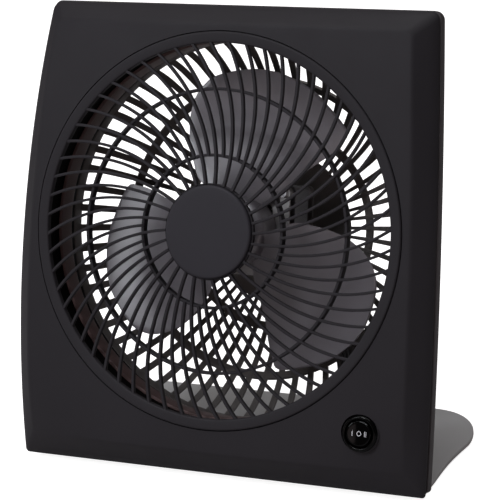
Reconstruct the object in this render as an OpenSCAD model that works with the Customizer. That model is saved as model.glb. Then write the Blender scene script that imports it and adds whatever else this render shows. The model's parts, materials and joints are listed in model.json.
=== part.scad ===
// Square desk box fan: swept round grille, three blades, bowl-shaped rear guard and a flat stand.
// The fan is drawn about its own axis, z forward out of the grille, and then leaned back and lifted.

/* [Overall] */
// backward lean of the fan, degrees
lean = 18; // [10:0.5:24]
// height of the body along its face, mm
panel_h = 302; // [260:1:340]
// half width of the body at its lower edge, mm
half_bottom = 144.3; // [130:0.1:160]
// half width of the body at its upper edge, mm
half_top = 136.4; // [125:0.1:150]
// outward bow of each side, mm
side_bow = 6.3; // [0:0.1:12]
// height of the fan axis above the lower edge, mm
axis_h = 156.4; // [140:0.1:170]
// corner radius of the body, mm
corner_r = 9; // [4:0.5:20]
// how far the corners of the face fall away, mm
pillow = 12; // [0:0.5:18]
// width of the bevel round the face, mm
bevel = 12.5; // [8:0.5:18]
// depth of the seam at mid height, mm
seam_mid = 15; // [10:0.5:20]
// extra depth of the seam at the top and bottom, mm
seam_bow = 12; // [0:0.5:16]
// wall thickness of the housings, mm
wall = 2.6; // [1.8:0.1:3.5]

/* [Front grille] */
// radius of the seam round the grille, mm
seam_r = 128.1; // [120:0.1:135]
// radius of the grille opening, mm
open_r = 120.8; // [110:0.1:128]
// radius of the outer cross ring, mm
ring_out = 91.3; // [80:0.1:100]
// radius of the inner cross ring, mm
ring_in = 49; // [40:0.5:60]
// radius of the hub disc, mm
hub_r = 30; // [24:0.5:36]
// how far the hub stands proud of the rim, mm
hub_proud = 9.2; // [4:0.1:14]
// swept ribs outside the inner ring
ribs_out = 60; // [40:2:72]
// rib width, mm
rib_w = 2; // [1.4:0.1:3]
// rib depth, mm
rib_t = 3.6; // [2.5:0.1:5]

/* [Rear guard] */
// radial bars of the rear guard
bars = 56; // [40:4:72]
// bar width at a radius of 100 mm, mm
bar_w = 4.2; // [2:0.1:5]
// width of the two bands across the bars, mm
ring_w = 5.6; // [3:0.1:8]
// depth of the rear plate behind the face, mm
rear_d = 110; // [90:1:130]
// radius of the rear plate, mm
plate_r = 52; // [44:1:60]

/* [Rotor] */
// radius to the blade tips, mm
tip_r = 106; // [100:1:110]
// blade thickness, mm
blade_t = 2.2; // [1.6:0.1:3]
// shaft radius, mm
shaft_r = 3; // [2.5:0.5:4]

/* [Switch] */
// switch position to the right of the axis, mm
sw_x = 106; // [90:0.5:115]
// switch position below the axis, mm
sw_y = 120; // [105:0.5:128]
// radius of the switch hole, mm
sw_hole = 10.1; // [9:0.05:11]

/* [Stand] */
// thickness of the stand plate, mm
stand_t = 3; // [2:0.5:5]
// height of the rubber pads, mm
pad_h = 1.6; // [1:0.1:4]

/* [Hidden] */
$fn = 64;

// the lean puts the rear lower edge just above the stand plate
lift = pad_h + stand_t + 12.2;
shift_y = -87.8;
stand_top = pad_h + stand_t;

// ---------- frames ----------
// fan axis frame: x right, y up the face, z forward
module ax() translate([0, shift_y, lift]) rotate([-lean, 0, 0]) translate([0, 0, axis_h])
    rotate([90, 0, 0]) children();
// a round bar between two depths behind the face
module rod(x, y, d1, d2, r) translate([x, y, -d2]) cylinder(r = r, h = d2 - d1);
// world y and z of a point given by its depth and height up the face
function wy(d, v) = d * cos(lean) + v * sin(lean) + shift_y;
function wz(d, v) = -d * sin(lean) + v * cos(lean) + lift;

// ---------- outline of the body ----------
// points along half a side and its corner, and round the whole loop
side_n = 11;
corner_n = 4;
step_n = side_n + corner_n + 1;
loop_n = 4 * step_n;
rho = corner_r / (panel_h / 2);
// where the corners of the face fall by the full pillow depth
pillow_r = 190;
// inner edge of the face skin, cut back to the seam afterwards
face_r = 118;
function half_w(v) = half_bottom + (half_top - half_bottom) * v / panel_h
    + side_bow * (1 - pow(2 * v / panel_h - 1, 2));
function quarter_pt(k) = k < side_n ? [1, (1 - rho) * (2 * (k + 1) / (side_n + 1) - 1)]
    : [1 - rho + rho * cos((k - side_n) * 90 / corner_n), 1 - rho + rho * sin((k - side_n) * 90 / corner_n)];
function turn(p, q) = q == 0 ? p : q == 1 ? [-p[1], p[0]] : q == 2 ? [-p[0], -p[1]] : [p[1], -p[0]];
function square_pt(i) = turn(quarter_pt(i % step_n), floor(i / step_n));
// point of the outline set in by e, as x and height above the axis
function out2(i, e) = let (p = square_pt(i), v = panel_h / 2 + p[1] * (panel_h / 2 - e))
    [p[0] * (half_w(v) - e), v - axis_h];
function circ2(i, r) = let (p = out2(i, 0)) p * r / norm(p);
function mix2(i, e, r, t) = out2(i, e) * (1 - t) + circ2(i, r) * t;
function seam_d(y) = seam_mid + seam_bow * pow(2 * (y + axis_h) / panel_h - 1, 2);
function face_d(p) = pillow * pow(min(1.05, norm(p) / pillow_r), 6);
function at(p, d) = [p[0], p[1], -d];
function unit(v) = v / norm(v);

// closed skin over loops that run from the outside round to the inside
module skin(loops) {
    n = len(loops);
    m = len(loops[0]);
    polyhedron(points = [for (l = loops) for (p = l) p],
        faces = [for (k = [0 : n - 1]) for (i = [0 : m - 1]) let (a = k * m + i, b = k * m + (i + 1) % m,
            c = ((k + 1) % n) * m + (i + 1) % m, e = ((k + 1) % n) * m + i)
            for (f = [[a, b, e], [b, c, e]]) f]);
}
function front_loop(e, k, extra) = [for (i = [0 : loop_n - 1]) let (p = out2(i, e), q = out2(i, 0),
    fd = face_d(out2(i, bevel)), sd = seam_d(q[1])) at(p, fd + k * (sd - fd) + extra)];
function face_loop(t, extra) = [for (i = [0 : loop_n - 1]) let (p = mix2(i, bevel, face_r, t))
    at(p, face_d(p) + extra)];
function rear_loop(e, extra) = [for (i = [0 : loop_n - 1]) let (p = out2(i, e), q = out2(i, 0))
    at(p, seam_d(q[1]) + extra)];
function mix_loop(e, r, t, d) = [for (i = [0 : loop_n - 1]) at(mix2(i, e, r, t), d)];

// ---------- shared positions ----------
corner_xy = [[124, 24 - axis_h], [-124, 24 - axis_h], [118, 278 - axis_h], [-118, 278 - axis_h]];
// lugs of the stand and their screws
lug_x = 78;
lug_y = 17 - axis_h;
lug_d = 47;
lug_t = 3.6;
lug_xy = [for (s = [-1, 1]) for (k = [-6, 6]) [s * lug_x + k, lug_y]];
pad_xy = [for (x = [-118, 118]) for (y = [43, 131]) [x, shift_y + y]];
// points round the guard, the motor mount and the motor brackets where screws go
guard_xy = [for (a = [45 : 90 : 315]) 135.5 * [cos(a), sin(a)]];
mount_xy = [for (a = [0 : 90 : 270]) 24 * [cos(a), sin(a)]];
bolt_xy = [for (x = [-25.5, 25.5]) for (y = [-25.5, 25.5]) [x, y]];
// cord gland and terminal block, low down inside the body
gland_x = 103;
gland_y = 24 - axis_h;
block_x = [52, 59, 66];
block_y = 18 - axis_h;
// depths of the blade hub's face, the drive pin and the seat of the switch
hub_d = 29;
pin_d = hub_d + 3.1;
pin_r = 0.8;
seat_d = 4.9;
// outside radius of the two bearings, and their clearance on the shaft
bearing_r = 5.5;
run_gap = 0.03;
// the rocker's pivot: depth and pin radius
rock_d = 6.6;
rock_r = 1.2;
// direction in which the leads cross the guard, degrees
lead_a = -50;

// ---------- housings ----------
module front_housing() {
    color([0.20, 0.20, 0.21]) ax() {
        difference() {
            union() {
                skin([mix_loop(0, face_r, 1, 0.9), face_loop(0.45, 0), front_loop(bevel, 0, 0),
                    front_loop(10.6, 0, 0.9), front_loop(3, 0.62, 0), front_loop(0.9, 0.84, 0),
                    front_loop(0, 1, 0), front_loop(2.2, 1, 0), front_loop(4.6, 0.68, wall * 0.6),
                    front_loop(13.4, 0, wall + 0.3),
                    face_loop(0.45, wall + 0.3), mix_loop(0, face_r, 1, 0.9 + wall)]);
                for (p = corner_xy) rod(p[0], p[1], face_d(p) + 1.6, 27.4, 4);
                rod(sw_x, -sw_y, seat_d, 9, 12.7);
                // collar behind the seam that the grille rim drops into
                rotate_extrude($fn = 128) polygon([[seam_r + 0.5, -1.6], [seam_r + 3.1, -1.6],
                    [seam_r + 3.1, -9.3], [seam_r + 0.5, -9.3]]);
            }
            translate([0, 0, -20]) cylinder(r = seam_r + 0.5, h = 40, $fn = 128);
            for (p = corner_xy) rod(p[0], p[1], 12, 40, 1.5);
            // flat seat and hole of the switch
            rod(sw_x, -sw_y, -10, seat_d, 12.2);
            rod(sw_x, -sw_y, 0, 12, sw_hole);
        }
    }
}

module rear_housing() {
    color([0.13, 0.13, 0.14]) ax() difference() {
        union() {
            skin([rear_loop(-0.7, 0.4), rear_loop(-0.7, 8), rear_loop(1.6, 10.2),
                mix_loop(8, 134.5, 0.5, 41), mix_loop(0, 134, 1, 46), mix_loop(0, 132.5, 1, 52),
                mix_loop(0, 126.5, 1, 52), mix_loop(0, 126.5, 1, 43.4), mix_loop(11.5, 131, 0.5, 38.4),
                rear_loop(4.2, 7.6), rear_loop(1.7, 6), rear_loop(1.7, 0.4)]);
            // air duct round the blades, with its joining flange
            rotate_extrude($fn = 128) polygon([[122.8, -9.8], [128, -9.8], [128, -11.6], [125.2, -11.6],
                [125.2, -41.4], [129, -41.4], [129, -43.4], [122.8, -43.4]]);
            for (p = corner_xy) rod(p[0], p[1], 27.8, 41, 5.6);
            for (p = lug_xy) rod(p[0], p[1], 36, lug_d, 3.6);
            for (p = guard_xy) rod(p[0], p[1], 40, 52, 3.6);
            rod(gland_x, gland_y, 36.5, 44, 9);
            rod(block_x[1], block_y, 26, 39, 4);
        }
        rod(0, 0, 43.4, 60, 128.5, $fn = 128);
        for (p = corner_xy) { rod(p[0], p[1], 20, 60, 1.7); rod(p[0], p[1], 34, 60, 3.9); }
        for (p = lug_xy) rod(p[0], p[1], 38, 60, 1.5);
        for (p = guard_xy) rod(p[0], p[1], 43, 60, 1.5);
        rod(gland_x, gland_y, 30, 60, 5.6);
        // pass for the leads between the housing and the guard
        rotate([0, 0, lead_a]) translate([119, -6, -44]) cube([12.5, 12, 8]);
    }
}

// ---------- front grille ----------
function grille_top(r) = r > ring_out ? -0.9 + 1.2 * (open_r - r) / (open_r - ring_out)
    : r > ring_in ? 0.3 + 3.9 * (ring_out - r) / (ring_out - ring_in)
    : 4.2 + 3 * (ring_in - r) / (ring_in - hub_r);
function sweep(r) = 2.03 + 0.14 * (r - 50) + 0.0006 * (r * r - 2500);
// bar with a four-sided section along a polar path of [radius, angle, top height] or [.., width]
module bar(path, w, t) {
    n = len(path);
    pts = [for (i = [0 : n - 1]) let (r = path[i][0], a = path[i][1], z = path[i][2],
        q = path[min(i + 1, n - 1)], o = path[max(i - 1, 0)],
        d = [q[0] * cos(q[1]) - o[0] * cos(o[1]), q[0] * sin(q[1]) - o[0] * sin(o[1])],
        s = [-d[1], d[0]] / norm(d) * (len(path[i]) > 3 ? path[i][3] : w) / 2, c = [r * cos(a), r * sin(a)])
        for (p = [[c[0] + s[0], c[1] + s[1], z], [c[0] - s[0], c[1] - s[1], z],
            [c[0] - s[0] * 0.7, c[1] - s[1] * 0.7, z - t], [c[0] + s[0] * 0.7, c[1] + s[1] * 0.7, z - t]]) p];
    polyhedron(points = pts, faces = concat([[0, 1, 2, 3]],
        [[4 * n - 1, 4 * n - 2, 4 * n - 3, 4 * n - 4]],
        [for (i = [0 : n - 2]) for (k = [0 : 3]) let (a = 4 * i + k, b = 4 * i + (k + 1) % 4)
            for (f = [[a, a + 4, b], [b, a + 4, b + 4]]) f]));
}
module grille_rib(r1, r2, steps, a0)
    bar([for (k = [0 : steps]) let (r = r1 + (r2 - r1) * k / steps) [r, a0 + sweep(r), grille_top(r)]],
        rib_w, rib_t);

module front_grille() {
    color([0.20, 0.20, 0.21]) ax() {
        rotate_extrude($fn = 128) {
            polygon([[open_r, -1.2], [open_r + 0.8, -0.5], [seam_r - 0.8, -0.2], [seam_r, -1],
                [seam_r, -9.2], [open_r + 2.4, -9.2], [open_r + 2.4, -4.2], [open_r, -4.8]]);
            polygon([[ring_out - 1, -0.9], [ring_out + 1, -0.9], [ring_out + 0.8, -7], [ring_out - 0.8, -7]]);
            polygon([[ring_in - 1, 3], [ring_in + 1, 3], [ring_in + 0.8, -3], [ring_in - 0.8, -3]]);
            // shallow cup that the hub cap sits in
            polygon([[0, 4.4], [hub_r + 0.1, 4.4], [hub_r + 0.1, 6.2], [hub_r + 1.1, 6.2],
                [hub_r + 1.1, 3.2], [hub_r - 1.4, 1], [0, 1]]);
        }
        for (k = [0 : ribs_out - 1]) let (full = k % 2 == 0)
            grille_rib(full ? hub_r + 0.7 : ring_in - 0.4, open_r + 1, full ? 7 : 5, 3 + k * 360 / ribs_out);
        // bayonet catches behind the rim
        for (a = [20 : 90 : 290]) rotate([0, 0, a]) translate([seam_r - 3.2, -5, -9.7]) cube([3, 10, 0.6]);
    }
}

module grille_hub_cap() {
    color([0.21, 0.21, 0.22]) ax() rotate_extrude($fn = 96)
        polygon([[0, 4.4], [hub_r - 0.8, 4.4], [hub_r, 5], [hub_r, hub_proud - 1.4],
            [hub_r - 0.6, hub_proud - 0.7], [hub_r - 2, hub_proud - 0.3], [0, hub_proud]]);
}

// ---------- rear guard ----------
bowl = [[126.4, 48.5], [120, 62], [112, 72.5], [100, 84.5], [85, 95.5], [68, 103.5], [plate_r - 1, 108.5]];
// flat band that lies along the slope of the bowl
module guard_ring(k, w) {
    slope = unit([bowl[k + 1][0] - bowl[k - 1][0], bowl[k - 1][1] - bowl[k + 1][1]]);
    across = [slope[1], -slope[0]];
    c = [bowl[k][0], -bowl[k][1]];
    polygon([for (q = [[-w, 0.8], [w, 0.8], [w, -1.6], [-w, -1.6]]) c + q[0] / 2 * slope - q[1] * across]);
}

module rear_guard() {
    color([0.13, 0.13, 0.14]) ax() difference() {
        union() {
            rotate_extrude($fn = 128) {
                polygon([[124.2, -43.8], [128.2, -43.8], [128.2, -52.2], [132, -52.2], [132, -54],
                    [124.2, -54]]);
                guard_ring(3, ring_w);
                guard_ring(5, ring_w);
                polygon([[0, 2.6 - rear_d], [plate_r, 2.6 - rear_d], [plate_r, -rear_d], [0, -rear_d]]);
            }
            // the bars widen outwards in step with the radius
            for (k = [0 : bars - 1]) let (a = (k + 0.5) * 360 / bars)
                bar([for (b = bowl) [b[0], a, 2.2 - b[1], bar_w * b[0] / 100]], bar_w, 3.8);
            // wide bar under the leads
            bar([for (b = bowl) [b[0], lead_a, 0.6 - b[1]]], 14, 2.2);
            for (p = guard_xy) rod(p[0], p[1], 52.2, 54.8, 4.2);
            for (a = [45 : 90 : 315]) rotate([0, 0, a]) translate([130, -3, -54]) cube([5, 6, 1.8]);
            for (p = mount_xy) rod(p[0], p[1], 94, rear_d - 1, 4);
        }
        for (p = mount_xy) rod(p[0], p[1], 90, rear_d + 5, 1.7);
        for (p = guard_xy) rod(p[0], p[1], 50, 60, 1.7);
        rotate([0, 0, lead_a]) translate([119, -5.5, -50]) cube([12, 11, 8]);
    }
}

// ---------- fixings ----------
// screw with its head seated at depth d1 and its tip at depth d2, and a cross recess
module screw(x, y, d1, d2, head_r = 3.2, head_h = 2.2, r = 1.4) {
    k = sign(d1 - d2);
    top = d1 + k * head_h;
    difference() {
        union() {
            rod(x, y, min(d1, top), max(d1, top), head_r);
            rod(x, y, min(d1, d2), max(d1, d2), r);
        }
        for (q = [0, 90]) translate([x, y, -top]) rotate([0, 0, q]) cube([3.6, 0.8, 2], center = true);
    }
}

module housing_screws() {
    color([0.55, 0.55, 0.57]) ax() for (p = corner_xy) screw(p[0], p[1], 34, 16);
}
module guard_screws() {
    color([0.55, 0.55, 0.57]) ax() for (p = guard_xy) screw(p[0], p[1], 54.8, 45);
}
module stand_screws() {
    color([0.55, 0.55, 0.57]) ax() for (p = lug_xy) screw(p[0], p[1], lug_d + lug_t, lug_d - 7, 2.8, 1.8);
}
module motor_mount_screws() {
    color([0.55, 0.55, 0.57]) ax() for (p = mount_xy) screw(p[0], p[1], rear_d, 91);
}
module bracket_screws() {
    color([0.6, 0.6, 0.62]) ax() for (p = bolt_xy) screw(p[0], p[1], 52, 96, 2.8, 2, 1.5);
}

// ---------- stand ----------
// half of the outline, from the front edge back along the body and round the rear corner
function stand_half(s) = [for (p = [[139.6, wy(36, 0)], [139.6, shift_y + 53], [139.2, shift_y + 71],
    [139.6, shift_y + 87], [141, shift_y + 101]]) [s * p[0], p[1]]];
function stand_arc(s) = [for (a = [0 : 7.5 : 90])
    [s * (102 + 40.5 * pow(cos(a), 0.9)), shift_y + 113 + 46 * sin(a)]];
function flip(l) = [for (i = [len(l) - 1 : -1 : 0]) l[i]];
module stand_plate() {
    color([0.46, 0.46, 0.47]) {
        difference() {
            translate([0, 0, pad_h]) linear_extrude(stand_t)
                polygon(concat(stand_half(1), stand_arc(1), flip(stand_arc(-1)), flip(stand_half(-1))));
            for (p = pad_xy) translate(p) cylinder(r = 2.6, h = pad_h + 1.8);
        }
        // two lugs that meet the bosses on the back of the body
        for (s = [-1, 1]) difference() {
            translate([s * lug_x - 13, 0, 0]) rotate([90, 0, 90]) linear_extrude(26) polygon([
                [wy(lug_d, 1), stand_top - 1], [wy(lug_d, 1), wz(lug_d, 1)], [wy(lug_d, 25), wz(lug_d, 25)],
                [wy(lug_d + lug_t, 25), wz(lug_d + lug_t, 25)], [wy(lug_d + lug_t, 9), wz(lug_d + lug_t, 9)],
                [wy(lug_d + lug_t, 9) + 10, stand_top - 1]]);
            ax() for (p = lug_xy) {
                rod(p[0], p[1], 40, 60, 1.7);
                rod(p[0], p[1], lug_d + lug_t, 75, 3.4);
            }
        }
    }
}
module stand_pads() {
    color([0.08, 0.08, 0.08]) for (p = pad_xy) translate(p) {
        cylinder(r = 7.5, h = pad_h);
        cylinder(r = 2.6, h = pad_h + 1.8);
    }
}

// ---------- motor ----------
module motor_plate() difference() {
    offset(r = 4) square(52, center = true);
    for (a = [45 : 90 : 315]) rotate(a) translate([17, 0]) circle(r = 6.5);
}
module motor_front_bracket() {
    color([0.62, 0.63, 0.65]) ax() difference() {
        union() {
            translate([0, 0, -54]) linear_extrude(2) motor_plate();
            rod(0, 0, 46.5, 56, 8);
            for (p = bolt_xy) rod(p[0], p[1], 53, 62, 3.4);
        }
        rod(0, 0, 40, 54.6, bearing_r);
        rod(0, 0, 40, 60, 4);
        for (p = bolt_xy) rod(p[0], p[1], 50, 63, 1.6);
    }
}
module motor_rear_bracket() {
    color([0.62, 0.63, 0.65]) ax() difference() {
        union() {
            translate([0, 0, -94]) linear_extrude(2) motor_plate();
            rod(0, 0, 91, 101.5, 8);
            for (p = bolt_xy) rod(p[0], p[1], 84, 94, 3.4);
        }
        rod(0, 0, 92.4, 100, bearing_r);
        rod(0, 0, 88, 100, 4);
        for (p = bolt_xy) rod(p[0], p[1], 80, 100, 1.6);
        for (p = mount_xy) rod(p[0], p[1], 90, 95, 1.5);
    }
}
module stator_laminations() {
    color([0.42, 0.43, 0.45]) ax() translate([0, 0, -84]) linear_extrude(22) difference() {
        union() {
            difference() { offset(r = 3) square(54, center = true); square(46, center = true); }
            for (a = [0 : 90 : 270]) rotate(a) translate([17.5, -6]) square([6.5, 12]);
            difference() {
                circle(r = 18.8);
                for (a = [45 : 90 : 315]) rotate(a) translate([10, -2.2]) square([12, 4.4]);
            }
        }
        circle(r = 16.4);
        for (p = bolt_xy) translate(p) circle(r = 1.6);
    }
}
module stator_coils() {
    color([0.62, 0.30, 0.14]) ax() for (a = [0 : 90 : 270]) rotate([0, 0, a]) difference() {
        translate([19, -9.4, -88.5]) cube([3.8, 18.8, 31]);
        translate([18, -6.05, -84.1]) cube([6, 12.1, 22.2]);
    }
}
module thermal_fuse() {
    color([0.75, 0.73, 0.66]) ax() translate([-6, 21, -55.75]) rotate([0, 90, 0]) cylinder(r = 1.7, h = 12);
}
module bearing(d1, d2) {
    color([0.70, 0.55, 0.30]) ax() difference() {
        rod(0, 0, d1, d2, bearing_r);
        rod(0, 0, d1 - 1, d2 + 1, shaft_r + run_gap);
    }
}
module front_bearing() bearing(47, 54.6);
module rear_bearing() bearing(92.4, 100);

// ---------- rotor ----------
module motor_shaft() {
    color([0.75, 0.76, 0.78]) ax() difference() {
        rod(0, 0, hub_d - 6.8, 99, shaft_r);
        cross_pin();
    }
}
module cross_pin() translate([-7, 0, -pin_d]) rotate([0, 90, 0]) cylinder(r = pin_r, h = 14);
module drive_pin() {
    color([0.7, 0.7, 0.72]) ax() cross_pin();
}
module rotor_core() {
    color([0.50, 0.51, 0.53]) ax() difference() {
        union() { rod(0, 0, 61.5, 84.5, 15.9); rod(0, 0, 59, 87, 13); }
        rod(0, 0, 50, 90, shaft_r);
    }
}
module thrust_washers() {
    color([0.85, 0.84, 0.78]) ax() for (d = [[57.2, 58.6], [88.4, 89.8]]) difference() {
        rod(0, 0, d[0], d[1], 6.5);
        rod(0, 0, 50, 95, shaft_r);
    }
}
// angles at which a blade starts and ends, its full spread, its middle depth and its rise, each by radius
function start_at(r) = lookup(r, [[20, 50], [30, 47], [46, 46], [60, 45], [75, 43.5], [88, 44], [95, 46],
    [99, 57], [103, 66], [tip_r, 79]]);
function end_at(r) = lookup(r, [[20, 117], [30, 125], [42, 130], [54, 127], [66, 123.5], [78, 119.5],
    [88, 115], [95, 111], [99, 107.5], [103, 102], [tip_r, 88]]);
function full_at(r) = lookup(r, [[20, 70], [42, 85], [60, 80], [78, 75], [tip_r, 62]]);
function mid_at(r) = lookup(r, [[20, 39.5], [41, 40.5], [60, 45], [80, 48], [tip_r, 48.5]]);
function rise_at(r) = lookup(r, [[20, 15], [41, 16], [60, 19], [90, 19], [tip_r, 17]]);
blade_rs = [20.6, 30, 42, 54, 66, 78, 88, 95, 99, 103, tip_r];
// depth of the blade: it climbs along the arc and is cupped by up to 1.5 mm
function blade_d(r, a) = let (f = (a - 45) / full_at(r))
    mid_at(r) + (0.5 - f) * rise_at(r) + 6 * f * (1 - f) - 1.2;
function blade_pt(r, f, t) = let (a = start_at(r) + f * (end_at(r) - start_at(r)))
    [r * cos(a), r * sin(a), t - blade_d(r, a)];
// one blade as a closed skin: front and back sheets of points, then its four edges
module blade() {
    nj = 8;
    ni = len(blade_rs) - 1;
    m = nj + 1;
    h = (ni + 1) * m;
    function quad(a, b, c, e) = [[a, b, c], [b, e, c]];
    polyhedron(
        points = [for (t = [0, -blade_t]) for (r = blade_rs) for (j = [0 : nj]) blade_pt(r, j / nj, t)],
        faces = concat(
            [for (i = [0 : ni - 1]) for (j = [0 : nj - 1]) let (a = i * m + j)
                for (f = quad(a, a + 1, a + m, a + m + 1)) f],
            [for (i = [0 : ni - 1]) for (j = [0 : nj - 1]) let (a = h + i * m + j)
                for (f = quad(a, a + m, a + 1, a + m + 1)) f],
            [for (i = [0 : ni - 1]) let (a = i * m) for (f = quad(a, a + m, h + a, h + a + m)) f],
            [for (i = [0 : ni - 1]) let (a = i * m + nj) for (f = quad(a, h + a, a + m, h + a + m)) f],
            [for (j = [0 : nj - 1]) for (f = quad(j, h + j, j + 1, h + j + 1)) f],
            [for (j = [0 : nj - 1]) let (a = ni * m + j) for (f = quad(a, a + 1, h + a, h + a + 1)) f]));
}
module fan_blades() {
    color([0.30, 0.30, 0.31]) ax() difference() {
        union() {
            rotate_extrude() polygon([[0, -hub_d], [17, -hub_d], [20.5, -hub_d - 1], [22, -hub_d - 3.1],
                [22, -51], [19.4, -51], [19.4, -hub_d - 3.6], [7, -hub_d - 3.6], [7, -46], [0, -46]]);
            for (k = [0 : 2]) rotate([0, 0, 120 * k]) blade();
        }
        rod(0, 0, 10, 50, shaft_r);
        cross_pin();
    }
}
module blade_nut() {
    color([0.16, 0.16, 0.17]) ax() difference() {
        union() {
            translate([0, 0, -hub_d]) rotate_extrude() polygon([[0, 9.8], [5.5, 9.5], [8.6, 7.6], [9.4, 5.4],
                [9.4, 1.8], [12, 1.2], [12, 0], [0, 0]]);
            for (a = [0 : 30 : 330]) rod(9.2 * cos(a), 9.2 * sin(a), hub_d - 7, hub_d - 1.4, 0.9);
        }
        rod(0, 0, hub_d - 6.8, hub_d + 5, shaft_r);
    }
}

// ---------- switch ----------
module sw() ax() translate([sw_x, -sw_y, 0]) children();
// pin or bore that the rocker turns on, reaching the given distance up and down
module pivot(r, reach) translate([0, 0, -rock_d]) rotate([90, 0, 0]) translate([0, 0, -reach])
    cylinder(r = r, h = 2 * reach);
module switch_housing() {
    color([0.05, 0.05, 0.05]) sw() difference() {
        union() {
            rotate_extrude() polygon([[0, -seat_d], [11.8, -seat_d], [11.8, -3.6], [11, -2.5], [9.9, -2.2],
                [0, -2.2]]);
            rod(0, 0, 4.8, 24, sw_hole - 0.1);
            // snap wings behind the panel
            for (s = [-1, 1]) translate([s > 0 ? 9.3 : -11.2, -2.5, -14.4]) cube([1.9, 5, 4.6]);
        }
        rod(0, 0, 0, 13, 9.2);
        pivot(rock_r + 0.05, 9.7);
    }
}
rocker_r = 8.3;
// dished top of the rocker, raised by k
function rocker_top(k) = [[-rocker_r, k - 1.5], [-4, k - 2.5], [0, k - 2.9], [4, k - 2.5],
    [rocker_r, k - 1.5]];
module switch_rocker() {
    color([0.04, 0.04, 0.04]) sw() {
        intersection() {
            rod(0, 0, 0, 12, rocker_r);
            rotate([90, 0, 0]) translate([0, 0, -8.4]) linear_extrude(16.8)
                polygon(concat(rocker_top(0), [[rocker_r, -4.6], [3, -9], [1.2, -11], [-1.2, -11], [-3, -9],
                    [-rocker_r, -4.6]]));
        }
        pivot(rock_r, 9.5);
    }
}
module switch_marks() {
    color([0.75, 0.75, 0.76]) sw() intersection() {
        rotate([90, 0, 0]) translate([0, 0, -4]) linear_extrude(8)
            polygon(concat(rocker_top(0.12), [for (i = [4 : -1 : 0]) rocker_top(0)[i]]));
        union() {
            translate([-4.6, -1.5, -5]) cube([0.5, 3, 5]);
            for (x = [3.6, 4.7]) translate([x, -1.5, -5]) cube([0.5, 3, 5]);
            difference() {
                rod(0, 0, 1, 5, 1.5);
                rod(0, 0, 0, 6, 1);
            }
        }
    }
}
module switch_terminals() {
    color([0.80, 0.72, 0.45]) sw() for (x = [-5, 0, 5]) translate([x - 0.4, -2.4, -32]) cube([0.8, 4.8, 8]);
}

// ---------- wiring ----------
// a lead through a list of points, with its sections set square to the path and to the vector up
module lead(pts, r, up, sides = 10) {
    n = len(pts);
    rings = [for (i = [0 : n - 1]) let (t = unit(pts[min(i + 1, n - 1)] - pts[max(i - 1, 0)]),
        s = unit(cross(t, up)), u = cross(s, t))
        for (k = [0 : sides - 1]) pts[i] + r * (cos(360 * k / sides) * s + sin(360 * k / sides) * u)];
    polyhedron(points = rings, faces = concat([[for (k = [0 : sides - 1]) sides - 1 - k]],
        [[for (k = [0 : sides - 1]) (n - 1) * sides + k]],
        [for (i = [0 : n - 2]) for (k = [0 : sides - 1])
            let (a = i * sides + k, b = i * sides + (k + 1) % sides)
            for (f = [[a, b, a + sides], [b, b + sides, a + sides]]) f]));
}
lead_r = 1.1;
// radius and depth of the leads from the edge of the housing over the guard to the motor
lead_path = [[133, 36.5], [124, 40.5], [121.8, 47], [115, 61], [98, 78.6], [84, 89.5], [67, 97.6], [50, 101],
    [24, 101], [17, 91]];
function beside(r, s, d) = [r * cos(lead_a) - s * sin(lead_a), r * sin(lead_a) + s * cos(lead_a), -d];
module switch_leads() {
    color([0.10, 0.10, 0.12]) ax() for (k = [-1 : 1])
        lead(concat([[sw_x + 5 * k, -sw_y, -33.4], beside(148, 4.5 * k + 2, 35)],
            [for (p = lead_path) beside(p[0], 2.6 * k, p[1])]), lead_r, [-sin(lead_a), cos(lead_a), 0]);
}
module terminal_block() {
    color([0.85, 0.84, 0.80]) ax() difference() {
        translate([block_x[0] - 6, block_y - 6, -26]) cube([26, 12, 13]);
        for (x = block_x) {
            translate([x, block_y - 7, -21]) rotate([-90, 0, 0]) cylinder(r = 1.6, h = 14);
            rod(x, block_y, 12, 18, 1.9);
        }
    }
}
module terminal_screws() {
    color([0.7, 0.7, 0.72]) ax() for (x = block_x) rod(x, block_y, 13.6, 18, 1.7);
}
module mains_leads() {
    color([0.30, 0.18, 0.10]) ax() for (k = [0, 1])
        let (x = block_x[2 - 2 * k], y = gland_y - 1.4 + 2.8 * k)
            lead([[gland_x, y, -38], [gland_x, y, -33], [82 - 5 * k, y + 1.1 * k, -26 - 3 * k],
                [x + 3, block_y + 13 + 3 * k, -21], [x, block_y + 10 + 2 * k, -21], [x, block_y - 3, -21]],
                lead_r, [0.3, 0.4, 1]);
}
module cord_gland() {
    color([0.07, 0.07, 0.07]) ax() difference() {
        union() {
            rod(gland_x, gland_y, 35.4, 46, 5.5);
            rod(gland_x, gland_y, 44.1, 48, 7.4);
            rod(gland_x, gland_y, 34, 36.2, 6.6);
        }
        rod(gland_x, gland_y, 30, 60, 3.1);
    }
}

front_housing();
front_grille();
grille_hub_cap();
rear_housing();
rear_guard();
housing_screws();
guard_screws();
stand_plate();
stand_screws();
stand_pads();
motor_front_bracket();
motor_rear_bracket();
stator_laminations();
stator_coils();
bracket_screws();
motor_mount_screws();
front_bearing();
rear_bearing();
thermal_fuse();
motor_shaft();
rotor_core();
thrust_washers();
fan_blades();
blade_nut();
drive_pin();
switch_housing();
switch_terminals();
switch_rocker();
switch_marks();
switch_leads();
terminal_block();
terminal_screws();
mains_leads();
cord_gland();
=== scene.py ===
import json
import math

import bmesh
import bpy
from mathutils import Matrix, Vector


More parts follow.
